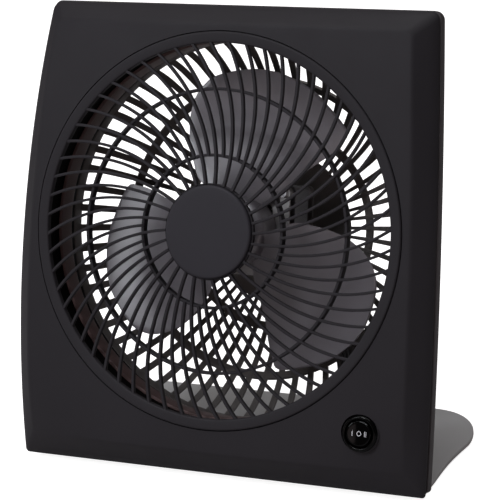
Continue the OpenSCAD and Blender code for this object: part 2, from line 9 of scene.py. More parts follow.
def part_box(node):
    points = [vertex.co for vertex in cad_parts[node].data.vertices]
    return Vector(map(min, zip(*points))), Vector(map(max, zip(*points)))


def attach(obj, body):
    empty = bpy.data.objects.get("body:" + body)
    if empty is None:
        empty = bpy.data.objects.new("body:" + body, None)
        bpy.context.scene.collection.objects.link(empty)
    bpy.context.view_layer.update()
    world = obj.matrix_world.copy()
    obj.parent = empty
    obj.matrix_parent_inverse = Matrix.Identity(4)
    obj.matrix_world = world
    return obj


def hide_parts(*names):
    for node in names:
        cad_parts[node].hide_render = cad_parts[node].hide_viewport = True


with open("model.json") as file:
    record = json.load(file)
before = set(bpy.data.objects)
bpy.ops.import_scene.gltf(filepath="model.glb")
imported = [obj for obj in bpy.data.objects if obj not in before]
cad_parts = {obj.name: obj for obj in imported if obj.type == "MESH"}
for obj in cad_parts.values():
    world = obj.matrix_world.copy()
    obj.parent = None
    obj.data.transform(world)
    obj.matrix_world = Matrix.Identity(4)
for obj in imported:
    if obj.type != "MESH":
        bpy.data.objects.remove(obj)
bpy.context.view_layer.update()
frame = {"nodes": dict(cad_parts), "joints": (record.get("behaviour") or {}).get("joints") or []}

# ---------- the fan's own frame: x right, y up the face, z forward out of the grille, in mm ----------
MM = 0.001
SPIN_DEPTH = 30
spin = next(j for j in frame["joints"] if j["name"] == "rotor_spin")
FORWARD = Vector(spin["axis"]).normalized()
RIGHT = Vector((1, 0, 0))
UP = FORWARD.cross(RIGHT).normalized()
ORIGIN = Vector(spin["pos_m"]) + FORWARD * SPIN_DEPTH * MM

# body: its height up the face and that of the fan axis; half its width at the bottom and the top, and how
# far the sides bow out; its corners' radii
PANEL_H, AXIS_H = 302, 156.4
HALF_BOTTOM, HALF_TOP, SIDE_BOW = 144.3, 136.4, 6.3
CORNER_TOP, CORNER_BOTTOM = 5.5, 2.5
# how much lower the front shell's outer edge runs than the rest of the outline
FRONT_DROP = 3.7
# how far the shells keep inside the CAD outline
CLEAR = 0.08
# front shell: how far the face falls away at which radius, the bevel's width, and the depth of the seam
PILLOW, PILLOW_R = 12, 190
BEVEL = 12.5
SEAM_MID, SEAM_BOW = 15, 12

# grille: the seam round it, its opening, its two cross rings and its ribs
SEAM_R, OPEN_R = 128.1, 120.8
RING_OUT, RING_IN = 91.3, 49
HUB_R, HUB_PROUD = 30, 9.2
RIBS_OUT = 60
RIB_W, RIB_T = 2.0, 3.6
RIM_D = 9.3

# rear: the wall's back edge, the guard's bars, bands and centre plate
WALL_D = 52
BARS, BAR_W, BAR_T, RING_W = 56, 4.2, 3.7, 5.6
REAR_D, PLATE_R = 110, 52

# rotor: blades and the front of their hub
BLADE_COUNT = 3
TIP_R, ROOT_R, BLADE_T = 106, 20.6, 2.2
HUB_D = 29

# switch: its place, the recess in the face, the hole and the button
SW_X, SW_Y = 106, -120
SEAT_R, SEAT_D, HOLE_R = 12.2, 4.9, 10.1
BUTTON_R = 8.3

# wiring: the way it crosses the guard, in degrees, and the leads' radius
LEAD_ANGLE, LEAD_R = -50, 1.05

# stand: the plate, its two lugs and the pads under it
STAND_T, PAD_H = 3, 1.6
LUG_X, LUG_D, LUG_T = 78, 47, 3.6

# x and height up the face of the body's screws and of the cord gland
BODY_SCREWS = ((124, 24), (-124, 24), (118, 278), (-118, 278))
GLAND_X, GLAND_H = 103, 24
# the lugs' screws: how far to each side of the lug's middle, and their height
LUG_SCREW_GAP, LUG_SCREW_H = 6, 17
# radii of the circles of the guard's screws and of the motor's mounting screws
GUARD_SCREW_R, MOUNT_SCREW_R = 135.5, 24

# a turned profile reaches the axis at this radius, because it can't close on a point
MIDDLE = 0.01


def place(x, y, z):
    """A point of the fan's own frame, in mm, as a point of the row frame, in metres."""
    return ORIGIN + (RIGHT * x + UP * y + FORWARD * z) * MM


def polar(r, degrees, z):
    """The point at radius r and height z, so many degrees round from x."""
    a = math.radians(degrees)
    return (r * math.cos(a), r * math.sin(a), z)


def circle(r, z, steps, x=0, y=0):
    """Points of a circle about (x, y) at height z."""
    return [(x + px, y + py, z) for px, py, _ in (polar(r, 360 * i / steps, z) for i in range(steps))]


def lerp(a, b, t):
    """The value the share t of the way from a to b."""
    return a + (b - a) * t


def smooth_table(x, rows):
    """Value at x on a Catmull-Rom curve through rows of [x, value]."""
    n = len(rows)
    k = max((i for i in range(n - 1) if rows[i][0] <= x), default=0)
    (x1, v1), (x2, v2) = rows[k], rows[k + 1]
    x0, v0 = rows[k - 1] if k else (2 * x1 - x2, 2 * v1 - v2)
    x3, v3 = rows[k + 2] if k + 2 < n else (2 * x2 - x1, 2 * v2 - v1)
    t = min(1, max(0, (x - x1) / (x2 - x1)))
    m1 = (v2 - v0) / (x2 - x0) * (x2 - x1)
    m2 = (v3 - v1) / (x3 - x1) * (x2 - x1)
    return ((2 * t**3 - 3 * t**2 + 1) * v1 + (t**3 - 2 * t**2 + t) * m1
            + (3 * t**2 - 2 * t**3) * v2 + (t**3 - t**2) * m2)


# ---------- materials ----------
CLOUDS_PER_M, GLOSS_CLOUDS_PER_M = 22, 60


def new_material(name):
    """A node material, with its nodes, links, shader and object coordinates."""
    m = bpy.data.materials.new(name)
    m.use_nodes = True
    nodes, links = m.node_tree.nodes, m.node_tree.links
    return m, nodes, links, nodes["Principled BSDF"], nodes.new("ShaderNodeTexCoord").outputs["Object"]


def plastic(name, colour, rough, grain=0.7, depth=0.06, specular=0.35, mottle=0.10):
    """Moulded plastic: a fine spark-eroded grain, a little uneven gloss and faint cloudy tone.

    The grain's pitch and depth are in mm; mottle is how far the tone strays either way.
    """
    m, nodes, links, shader, where = new_material(name)

    def noise(scale, detail=3.0):
        n = nodes.new("ShaderNodeTexNoise")
        n.inputs["Scale"].default_value = scale
        n.inputs["Detail"].default_value = detail
        links.new(where, n.inputs["Vector"])
        return n.outputs["Fac"]

    cloud = nodes.new("ShaderNodeMix")
    cloud.data_type = "RGBA"
    cloud.inputs["A"].default_value = (*[c * (1 - mottle) for c in colour], 1)
    cloud.inputs["B"].default_value = (*[c * (1 + mottle) for c in colour], 1)
    links.new(noise(CLOUDS_PER_M), cloud.inputs["Factor"])
    links.new(cloud.outputs["Result"], shader.inputs["Base Color"])

    gloss = nodes.new("ShaderNodeMapRange")
    gloss.inputs["To Min"].default_value = rough - 0.06
    gloss.inputs["To Max"].default_value = rough + 0.08
    links.new(noise(GLOSS_CLOUDS_PER_M, 5.0), gloss.inputs["Value"])
    links.new(gloss.outputs["Result"], shader.inputs["Roughness"])

    bump = nodes.new("ShaderNodeBump")
    bump.inputs["Strength"].default_value = 0.35
    bump.inputs["Distance"].default_value = depth * MM
    links.new(noise(1 / (grain * MM), 2.0), bump.inputs["Height"])
    links.new(bump.outputs["Normal"], shader.inputs["Normal"])
    shader.inputs["Specular IOR Level"].default_value = specular
    return m


def metal(name, colour, rough, grain=0.25, stretch=(1, 1, 1), depth=0.02):
    """Bare metal with a fine grain, which stretch draws out into scratches."""
    m, nodes, links, shader, where = new_material(name)
    shader.inputs["Metallic"].default_value = 1.0
    stretched = nodes.new("ShaderNodeMapping")
    stretched.inputs["Scale"].default_value = stretch
    links.new(where, stretched.inputs["Vector"])
    scratch = nodes.new("ShaderNodeTexNoise")
    scratch.inputs["Scale"].default_value = 1 / (grain * MM)
    scratch.inputs["Detail"].default_value = 4
    links.new(stretched.outputs["Vector"], scratch.inputs["Vector"])
    tone = nodes.new("ShaderNodeMix")
    tone.data_type = "RGBA"
    tone.inputs["A"].default_value = (*[c * 0.82 for c in colour], 1)
    tone.inputs["B"].default_value = (*colour, 1)
    links.new(scratch.outputs["Fac"], tone.inputs["Factor"])
    links.new(tone.outputs["Result"], shader.inputs["Base Color"])
    gloss = nodes.new("ShaderNodeMapRange")
    gloss.inputs["To Min"].default_value = rough - 0.08
    gloss.inputs["To Max"].default_value = rough + 0.1
    links.new(scratch.outputs["Fac"], gloss.inputs["Value"])
    links.new(gloss.outputs["Result"], shader.inputs["Roughness"])
    bump = nodes.new("ShaderNodeBump")
    bump.inputs["Strength"].default_value = 0.3
    bump.inputs["Distance"].default_value = depth * MM
    links.new(scratch.outputs["Fac"], bump.inputs["Height"])
    links.new(bump.outputs["Normal"], shader.inputs["Normal"])
    return m


def layered(name, colour, rough, pitch, metallic, direction):
    """Stacked sheets or wound wire: fine even lines across the given direction, pitch mm apart."""
    m = metal(name, colour, rough)
    nodes, links = m.node_tree.nodes, m.node_tree.links
    nodes["Principled BSDF"].inputs["Metallic"].default_value = metallic
    wave = nodes.new("ShaderNodeTexWave")
    wave.bands_direction = direction
    # a wave of scale 1 repeats every 0.314 m
    wave.inputs["Scale"].default_value = 0.314 / (pitch * MM)
    wave.inputs["Distortion"].default_value = 0.3
    links.new(nodes["Texture Coordinate"].outputs["Object"], wave.inputs["Vector"])
    bump = nodes["Bump"]
    bump.inputs["Strength"].default_value = 0.7
    bump.inputs["Distance"].default_value = 0.12 * MM
    links.new(wave.outputs["Fac"], bump.inputs["Height"])
    return m


CHARCOAL = plastic("charcoal_plastic", (0.0158, 0.0145, 0.0166), 0.55, grain=0.6, depth=0.05, specular=0.10)
HUB_CHARCOAL = plastic("hub_plastic", (0.0190, 0.0178, 0.0215), 0.50, grain=0.5, depth=0.03, specular=0.12)
DARK = plastic("dark_plastic", (0.0310, 0.0270, 0.0285), 0.52, grain=0.7, depth=0.05, specular=0.15)
GUARD = plastic("guard_plastic", (0.080, 0.072, 0.069), 0.50, grain=0.7, depth=0.05, specular=0.2)
# the duct's throat and rear lip: near black, painted shade of the deep hollow behind the grille
THROAT_PAINTED_SHADE = plastic("throat_painted_shade", (0.0012, 0.0009, 0.0009), 0.6, grain=0.7, depth=0.05, specular=0.03)
# the duct's middle band: a lighter brown, painted light where the band faces the lamps
DUCT_PAINTED_LIGHT = plastic("duct_painted_light", (0.075, 0.046, 0.044), 0.45, grain=0.8, depth=0.04, specular=0.2)
BLADE = plastic("blade_plastic", (0.125, 0.116, 0.128), 0.34, grain=1.0, depth=0.02, specular=0.7)
STAND = plastic("stand_plastic", (0.310, 0.310, 0.313), 0.55, grain=0.6, depth=0.05, mottle=0.04)
GLOSS = plastic("gloss_black", (0.0006, 0.0006, 0.0006), 0.14, grain=2.0, depth=0.004, specular=0.08)
PRINT = plastic("mark_print", (0.50, 0.50, 0.52), 0.45, mottle=0.03)
CREAM = plastic("cream_plastic", (0.55, 0.52, 0.42), 0.45)
RUBBER = plastic("pad_rubber", (0.012, 0.012, 0.012), 0.75, grain=0.4, depth=0.08)
LEAD_BLACK = plastic("lead_black", (0.018, 0.018, 0.020), 0.42, grain=0.5, depth=0.02)
LEAD_BROWN = plastic("lead_brown", (0.080, 0.035, 0.016), 0.42, grain=0.5, depth=0.02)
ZINC = metal("zinc_screw", (0.55, 0.55, 0.57), 0.34)
STEEL = metal("ground_steel", (0.62, 0.62, 0.64), 0.22, stretch=(1, 12, 12))
CAST = metal("cast_bracket", (0.30, 0.29, 0.29), 0.45, grain=0.8, depth=0.08)
BRONZE = metal("sintered_bronze", (0.50, 0.33, 0.15), 0.42, grain=0.3)
BRASS = metal("brass_tab", (0.66, 0.50, 0.22), 0.28)
LAMINATE = layered("laminated_steel", (0.20, 0.20, 0.21), 0.42, 0.5, 1.0, "Y")
WINDING = layered("enamelled_copper", (0.42, 0.15, 0.055), 0.30, 0.45, 0.85, "X")

NODE_LOOKS = {
    "housing_screws": ZINC, "guard_screws": ZINC, "stand_screws": ZINC, "stand_pads": RUBBER,
    "motor_front_bracket": CAST, "motor_rear_bracket": CAST, "stator_laminations": LAMINATE,
    "stator_coils": WINDING, "bracket_screws": ZINC, "motor_mount_screws": ZINC,
    "front_bearing": BRONZE, "rear_bearing": BRONZE, "thermal_fuse": CREAM, "motor_shaft": STEEL,
    "rotor_core": LAMINATE, "thrust_washers": CREAM, "drive_pin": STEEL, "switch_terminals": BRASS,
    "terminal_block": CREAM, "terminal_screws": ZINC,
    "mains_leads": LEAD_BROWN, "cord_gland": RUBBER,
}


def dress(obj, material):
    """Gives a piece this material and no other."""
    obj.data.materials.clear()
    obj.data.materials.append(material)


for node, look in NODE_LOOKS.items():
    dress(frame["nodes"][node], look)


# ---------- mesh building ----------
def build(name, points, faces, material, body, nodes, sharp=35):
    """A smooth-shaded piece that rides on a body and stands for CAD nodes."""
    mesh = bpy.data.meshes.new(name)
    mesh.from_pydata(points, [], faces)
    mesh.validate()
    work = bmesh.new()
    work.from_mesh(mesh)
    bmesh.ops.remove_doubles(work, verts=work.verts, dist=1e-7)
    bmesh.ops.recalc_face_normals(work, faces=work.faces)
    work.to_mesh(mesh)
    work.free()
    mesh.shade_smooth()
    mesh.set_sharp_from_angle(angle=math.radians(sharp))
    obj = bpy.data.objects.new(name, mesh)
    bpy.context.collection.objects.link(obj)
    dress(obj, material)
    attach(obj, body)
    if nodes:
        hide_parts(*nodes)
    return obj


class Shape:
    """Points and faces of one piece, gathered part by part in the fan's own frame."""

    def __init__(self):
        self.verts, self.faces = [], []

    def rows(self, rows, wrap_rows=False, caps=False):
        """Quads over closed rows of points; the last row may join the first, or both ends be capped."""
        base, n = len(self.verts), len(rows[0])
        for row in rows:
            self.verts.extend(row)
        for k in range(len(rows) - (0 if wrap_rows else 1)):
            a, b = base + k * n, base + ((k + 1) % len(rows)) * n
            for i in range(n):
                j = (i + 1) % n
                self.faces.append((a + i, a + j, b + j, b + i))
        if caps:
            self.faces.append(tuple(base + i for i in reversed(range(n))))
            last = base + (len(rows) - 1) * n
            self.faces.append(tuple(last + i for i in range(n)))

    def lathe(self, profile, steps=192, x=0, y=0):
        """A closed profile of [radius, z] turned about the line at (x, y)."""
        self.rows([circle(r, z, steps, x, y) for r, z in profile], wrap_rows=True)

    def turned(self, profile, ease, ease_steps=3, steps=192, x=0, y=0):
        """A lathe of the profile with its corners eased first."""
        self.lathe(rounded(profile, ease, ease_steps), steps, x, y)

    def sleeve(self, inner, outer, front, back, x, y, ease=0.3, steps=32):
        """A round boss with a hole through it."""
        self.turned([(inner, front), (outer, front), (outer, back), (inner, back)], ease, 2, steps, x, y)

    def make(self, name, material, slot, body, *nodes, sharp=35):
        return build(name, [place(*v) for v in self.verts], self.faces, material, body, nodes, sharp)


def cut(obj, tool):
    """Takes the tool's volume out of a piece."""
    mesh = bpy.data.meshes.new("tool")
    mesh.from_pydata([place(*v) for v in tool.verts], [], tool.faces)
    work = bmesh.new()
    work.from_mesh(mesh)
    bmesh.ops.recalc_face_normals(work, faces=work.faces)
    work.to_mesh(mesh)
    work.free()
    cutter = bpy.data.objects.new("tool", mesh)
    bpy.context.collection.objects.link(cutter)
    step = obj.modifiers.new("cut", "BOOLEAN")
    step.operation, step.object, step.solver = "DIFFERENCE", cutter, "EXACT"
    whole = bpy.data.meshes.new_from_object(obj.evaluated_get(bpy.context.evaluated_depsgraph_get()))
    obj.modifiers.remove(step)
    obj.data = whole
    bpy.data.objects.remove(cutter)


def rounded(points, radius, steps=4, closed=True):
    """The polyline with each corner eased over the given distance along its sides.

    The distance is one number for all the corners, or a list with one for each.
    """
    out, n = [], len(points)
    for i, p in enumerate(points):
        if not closed and i in (0, n - 1):
            out.append(tuple(p))
            continue
        p = Vector(p)
        r = radius[i] if isinstance(radius, (list, tuple)) else radius
        ends = []
        for q in (Vector(points[i - 1]), Vector(points[(i + 1) % n])):
            d = q - p
            ends.append(p + d * min(0.49, r / max(d.length, 1e-6)))
        for k in range(steps + 1):
            t = k / steps
            out.append(tuple(ends[0] * (1 - t) ** 2 + p * 2 * t * (1 - t) + ends[1] * t * t))
    return out


# ---------- outline of the body ----------
SIDE_STEPS, CORNER_STEPS = 47, 12
QUARTER = SIDE_STEPS + CORNER_STEPS + 1
LOOP = 4 * QUARTER
# share of the half height taken by each corner, anticlockwise from the top right
CORNER_SHARE = [2 * r / PANEL_H for r in (CORNER_TOP, CORNER_TOP, CORNER_BOTTOM, CORNER_BOTTOM)]


def half_width(v):
    """Half the width of the body at height v above its lower edge."""
    return lerp(HALF_BOTTOM, HALF_TOP, v / PANEL_H) + SIDE_BOW * (1 - (2 * v / PANEL_H - 1) ** 2)


def square_point(i):
    """Point i of a rounded square with half side 1."""
    quarter, k = divmod(i % LOOP, QUARTER)
    share = CORNER_SHARE[quarter]
    if k < SIDE_STEPS:
        p = (1, lerp(CORNER_SHARE[quarter - 1] - 1, 1 - share, (k + 1) / (SIDE_STEPS + 1)))
    else:
        a = math.radians(90 * (k - SIDE_STEPS) / CORNER_STEPS)
        p = (1 - share + share * math.cos(a), 1 - share + share * math.sin(a))
    for _ in range(quarter):
        p = (-p[1], p[0])
    return p


def outline(i, inset, drop=0):
    """Point i of the body's outline, set in, with its lower edge let down by drop."""
    inset += CLEAR
    s, t = square_point(i)
    v = PANEL_H / 2 + t * (PANEL_H / 2 - inset + (drop if t < 0 else 0))
    return s * (half_width(v) - inset), v - AXIS_H


def on_circle(i, r):
    """The point at radius r in the direction of point i of the outline."""
    x, y = outline(i, 0)
    k = r / math.hypot(x, y)
    return x * k, y * k


def blend(i, inset, r, t):
    """A point the share t of the way from the outline to the circle of radius r."""
    a, b = outline(i, inset), on_circle(i, r)
    return lerp(a[0], b[0], t), lerp(a[1], b[1], t)


def seam_depth(i):
    """Depth of the seam between the housings, which lies deeper at the top and the bottom."""
    return SEAM_MID + SEAM_BOW * (2 * (outline(i, 0)[1] + AXIS_H) / PANEL_H - 1) ** 2


def face_depth(x, y):
    """Depth of the pillowed face, flat over the middle and falling away towards the corners."""
    return PILLOW * min(1.05, math.hypot(x, y) / PILLOW_R) ** 6


def columns_to_rows(columns):
    return [list(row) for row in zip(*columns)]


def front_shell():
    """The front housing: rim, pillowed face, bevel down to the seam, and the wall's inner side."""
    shape = Shape()
    face_steps, shoulder = 12, BEVEL + 3
    columns = []
    for i in range(LOOP):
        face, seam = face_depth(*outline(i, BEVEL)), seam_depth(i)

        def at(inset, depth):
            """A point set in from the outline, whose lower edge comes down towards the outside."""
            return (*outline(i, inset, FRONT_DROP * max(0, 1 - inset / BEVEL)), -depth)

        def fall(share):
            """Depth at a share of the way down from the face to the seam."""
            return face + share * (seam - face)

        rim = [(*on_circle(i, SEAM_R + 0.5), -RIM_D), (*on_circle(i, SEAM_R + 0.5), -1.7),
               (*on_circle(i, SEAM_R + 0.6), -1.3)]
        panel = []
        for k in range(face_steps):
            x, y = blend(i, shoulder, SEAM_R + 0.55, 1 - k / face_steps)
            panel.append((x, y, -face_depth(x, y)))
        bevel = rounded([at(shoulder, face_depth(*outline(i, shoulder))), at(BEVEL, face), at(3, fall(0.62)),
                         at(0.4, fall(0.86)), at(0, seam - 0.3), at(0.5, seam), at(2.2, seam)],
                        [0, 2.6, 4, 3, 0.3, 0.3, 0], steps=5, closed=False)
        inner = [at(4.6, fall(0.68) + 1.6), at(13.4, face + 2.9), (*on_circle(i, SEAM_R + 3.1), -4.0),
                 (*on_circle(i, SEAM_R + 3.1), -RIM_D)]
        columns.append(rim + panel + bevel + inner)
    shape.rows(columns_to_rows(columns), wrap_rows=True)
    shell = shape.make("front_shell", CHARCOAL, "charcoal", "fan_body", "front_housing")
    recess = Shape()
    recess.lathe([(MIDDLE, 20), (SEAT_R, 20), (SEAT_R, -SEAT_D), (HOLE_R, -SEAT_D), (HOLE_R, -30),
                  (MIDDLE, -30)], 128, SW_X, SW_Y)
    cut(shell, recess)
    seat = Shape()
    seat.turned([(HOLE_R, -SEAT_D), (12.3, -SEAT_D), (12.7, -SEAT_D - 0.5), (12.7, -9), (HOLE_R, -9)],
                0.2, 2, 128, SW_X, SW_Y)
    seat.make("switch_seat", CHARCOAL, "charcoal", "fan_body")


def rear_shell():
    """The rear housing: lip, back flange and round wall, with the bosses for its screws."""
    shape = Shape()
    columns = []
    for i in range(LOOP):
        seam = seam_depth(i)

        def lip(inset, extra):
            return (*outline(i, inset), -(seam + extra))

        columns.append(rounded([
            lip(-0.7, 0.6), lip(-0.7, 8), lip(1.6, 10.2), (*blend(i, 8, 134.5, 0.5), -41),
            (*on_circle(i, 134), -46), (*on_circle(i, 132.5), -WALL_D), (*on_circle(i, 128.5), -WALL_D),
            (*on_circle(i, 128.5), -43.4), (*on_circle(i, 125.2), -43.3), (*blend(i, 11.5, 131, 0.5), -38.4),
            lip(4.2, 7.6), lip(1.7, 6), lip(1.7, 0.6)],
            [0.5, 1.6, 1.2, 6, 3, 0.8, 0.5, 0.5, 0.5, 4, 1, 0.5, 0.4], steps=3))
    shape.rows(columns_to_rows(columns), wrap_rows=True)
    for side in (-1, 1):
        for gap in (-LUG_SCREW_GAP, LUG_SCREW_GAP):
            shape.sleeve(1.5, 3.6, -38, -LUG_D, side * LUG_X + gap, LUG_SCREW_H - AXIS_H)
    for a in range(45, 360, 90):
        x, y, _ = polar(GUARD_SCREW_R, a, 0)
        shape.sleeve(1.5, 3.6, -41, -WALL_D, x, y)
    for x, height in BODY_SCREWS:
        shape.sleeve(3.9, 5.6, -34, -41.2, x, height - AXIS_H, steps=40)
    shape.sleeve(5.6, 9, -37, -44, GLAND_X, GLAND_H - AXIS_H, ease=0.4, steps=48)
    shape.make("rear_shell", DARK, "dark_plastic", "fan_body", "rear_housing")


def air_duct():
    """The wall round the blades, stepped as it goes back: a throat and a rear lip painted near black as
    shade, and between them a band painted a lighter brown as light falling on it.
    """
    throat, band = Shape(), Shape()
    throat.turned([(124.2, -9.8), (127.6, -9.8), (127.6, -11.6), (126.4, -12), (126.4, -24), (124.2, -24)],
                  0.4, steps=256)
    throat.turned([(123.9, -35), (125.9, -35), (125.9, -41.4), (128.3, -41.4), (128.3, -43.3),
                   (124.4, -43.3)], 0.4, steps=256)
    band.turned([(122.3, -22), (126.2, -22), (126.2, -37), (122.8, -37), (122.3, -36)], 0.5, steps=256)
    throat.make("duct_throat", THROAT_PAINTED_SHADE, "dark_plastic", "fan_body")
    band.make("duct_band", DUCT_PAINTED_LIGHT, "dark_plastic", "fan_body")


# ---------- front grille ----------
def grille_top(r):
    """Height of the grille's front at radius r: a slight dome, steeper inside the inner ring."""
    if r > RING_OUT:
        return -0.9 + 1.2 * (OPEN_R - r) / (OPEN_R - RING_OUT)
    if r > RING_IN:
        return 0.3 + 3.9 * (RING_OUT - r) / (RING_OUT - RING_IN)
    return 4.2 + 3 * (RING_IN - r) / (RING_IN - HUB_R)


def sweep(r):
    """Angle by which a rib has swept round at radius r, in degrees."""
    start_r, start, slope, curve = 50, 2.03, 0.14, 0.0006
    return start + slope * (r - start_r) + curve * (r * r - start_r * start_r)


def bar_section(width, depth, taper=0.7, ease=0.5):
    """Closed section of a moulded bar, as [side, up] points with eased edges."""
    w = width / 2
    return rounded([(w, 0), (-w, 0), (-w * taper, -depth), (w * taper, -depth)], ease, 3)


def sweep_bar(shape, path, section):
    """A bar along a path of [radius, angle, top height] and, where it widens, its share of full width."""
    points = [polar(*p[:3]) for p in path]
    rows = []
    for i, (x, y, z) in enumerate(points):
        a, b = points[max(i - 1, 0)], points[min(i + 1, len(points) - 1)]
        dx, dy = b[0] - a[0], b[1] - a[1]
        n = math.hypot(dx, dy)
        k = path[i][3] if len(path[i]) > 3 else 1
        rows.append([(x - dy / n * s * k, y + dx / n * s * k, z + d) for s, d in section])
    shape.rows(rows, caps=True)


def front_ribs():
    """The grille: swept ribs, of which every second one reaches the hub, two rings, rim and hub seat."""
    shape = Shape()
    section = bar_section(RIB_W, RIB_T, ease=0.6)
    first_angle = 3
    for k in range(RIBS_OUT):
        start, steps = (HUB_R + 0.7, 26) if k % 2 == 0 else (RING_IN - 0.4, 20)
        path = []
        for j in range(steps + 1):
            r = lerp(start, OPEN_R + 1, j / steps)
            path.append((r, first_angle + k * 360 / RIBS_OUT + sweep(r), grille_top(r)))
        sweep_bar(shape, path, section)
    for r, z in ((RING_OUT, -0.9), (RING_IN, 3)):
        shape.turned([(r - 1, z), (r + 1, z), (r + 0.8, z - 6.1), (r - 0.8, z - 6)], 0.5, steps=256)
    shape.turned([(OPEN_R, -1.2), (OPEN_R + 0.8, -0.5), (SEAM_R - 0.8, -0.2), (SEAM_R, -1), (SEAM_R, -9.2),
                  (OPEN_R + 2.4, -9.2), (OPEN_R + 2.4, -4.2), (OPEN_R, -4.8)], 0.5, steps=256)
    shape.turned([(2, 4.3), (HUB_R + 0.1, 4.3), (HUB_R + 0.1, 6.1), (HUB_R + 1.1, 6.1), (HUB_R + 1.1, 3.2),
                  (HUB_R - 1.4, 1), (2, 1)], 0.3, 2, 128)
    shape.make("grille_insert", CHARCOAL, "charcoal", "fan_body", "front_grille")


def hub_cap():
    """The blank, slightly crowned disc in the middle of the grille."""
    shape = Shape()
    z = HUB_PROUD
    shape.turned([(MIDDLE, 4.4), (HUB_R - 0.8, 4.4), (HUB_R, 5), (HUB_R, z - 1.4), (HUB_R - 0.9, z - 0.45),
                  (HUB_R - 4, z - 0.25), (HUB_R * 0.5, z - 0.04), (MIDDLE, z)],
                 [0, 0.3, 0.3, 0.8, 0.8, 2, 4, 0], 4, 160)
    shape.make("hub_cap", HUB_CHARCOAL, "charcoal", "fan_body", "grille_hub_cap")


# ---------- rear guard ----------
# the bowl's profile, as [radius, depth] rows
BOWL = [(51, 108.5), (68, 103.5), (85, 95.5), (100, 84.5), (112, 72.5), (120, 62), (126.4, 48.5)]


def bowl_path(angle, lift, tapered, steps=30):
    """A path down the bowl for sweep_bar, lift mm above its profile; a tapered bar widens outwards."""
    full_width_r = 100
    path = []
    for j in range(steps + 1):
        r = lerp(BOWL[0][0], BOWL[-1][0], math.sin(j / steps * math.pi / 2))
        path.append((r, angle, lift - smooth_table(r, BOWL), r / full_width_r if tapered else 1))
    return path


def band(shape, k):
    """A flat band across the bars at row k of the bowl, lying along its slope."""
    slope = Vector((BOWL[k + 1][0] - BOWL[k - 1][0], BOWL[k - 1][1] - BOWL[k + 1][1])).normalized()
    across = Vector((slope.y, -slope.x))
    middle = Vector((BOWL[k][0], -BOWL[k][1]))
    corners = [middle + slope * u / 2 - across * v for u, v in
               ((-RING_W, -0.8), (RING_W, -0.8), (RING_W, 1.6), (-RING_W, 1.6))]
    shape.turned([tuple(c) for c in corners], 0.5, steps=224)


def guard():
    """The bowl behind the blades: radial bars, a strip under the leads, two bands, rim and centre plate."""
    shape = Shape()
    section = bar_section(BAR_W, BAR_T, ease=0.7)
    for k in range(BARS):
        sweep_bar(shape, bowl_path((k + 0.5) * 360 / BARS, 2.2, True), section)
    sweep_bar(shape, bowl_path(LEAD_ANGLE, 0.6, False), bar_section(14, 2.2, taper=1.0, ease=0.6))
    band(shape, 3)
    band(shape, 1)
    shape.turned([(124.2, -43.8), (128.2, -43.8), (128.2, -52.2), (132, -52.2), (132, -54), (124.2, -54)],
                 0.5, steps=256)
    shape.turned([(MIDDLE, 2.6 - REAR_D), (PLATE_R, 2.6 - REAR_D), (PLATE_R, -REAR_D), (PLATE_R - 8, -REAR_D),
                  (PLATE_R - 9, 0.6 - REAR_D), (PLATE_R - 12, 0.6 - REAR_D), (PLATE_R - 13, -REAR_D),
                  (MIDDLE, -REAR_D)], [0, 0.8, 0.8, 0.3, 0.3, 0.3, 0.3, 0], steps=160)
    for a in range(0, 360, 90):
        x, y, _ = polar(MOUNT_SCREW_R, a, 0)
        shape.sleeve(1.7, 4, -94, 1 - REAR_D, x, y, ease=0.4, steps=40)
    for a in range(45, 360, 90):
        x, y, _ = polar(GUARD_SCREW_R, a, 0)
        shape.sleeve(1.7, 4.2, -52.2, -54.8, x, y, ease=0.4, steps=40)
    shape.make("rear_bowl_guard", GUARD, "dark_plastic", "fan_body", "rear_guard")


# ---------- rotor ----------
# one blade from root to tip, as [radius, value] rows: the angles of its two edges, the angle that it would
# span without the rounding of its outline, the depth of its middle, and its rise from edge to edge
START = [(20, 50), (30, 47), (46, 46), (60, 45), (75, 43.5), (88, 44), (95, 46), (99, 57), (103, 66),
         (TIP_R, 79)]
END = [(20, 117), (30, 125), (42, 130), (54, 127), (66, 123.5), (78, 119.5), (88, 115), (95, 111),
       (99, 107.5), (103, 102), (TIP_R, 88)]
FULL = [(20, 70), (42, 85), (60, 80), (78, 75), (TIP_R, 62)]
MID = [(20, 39.5), (41, 40.5), (60, 45), (80, 48), (TIP_R, 48.5)]
RISE = [(20, 15), (41, 16), (60, 19), (90, 19), (TIP_R, 17)]
FIRST_EDGE, CAMBER, CAMBER_SHIFT = 45, 6, 1.2


def blade_point(r, across, drop):
    """A point of the first blade at radius r, a share across it, drop mm behind its front."""
    angle = lerp(smooth_table(r, START), smooth_table(r, END), across)
    g = (angle - FIRST_EDGE) / smooth_table(r, FULL)
    pitch = (0.5 - g) * smooth_table(r, RISE)
    depth = smooth_table(r, MID) + pitch + CAMBER * g * (1 - g) - CAMBER_SHIFT
    return polar(r, angle, -depth - drop)


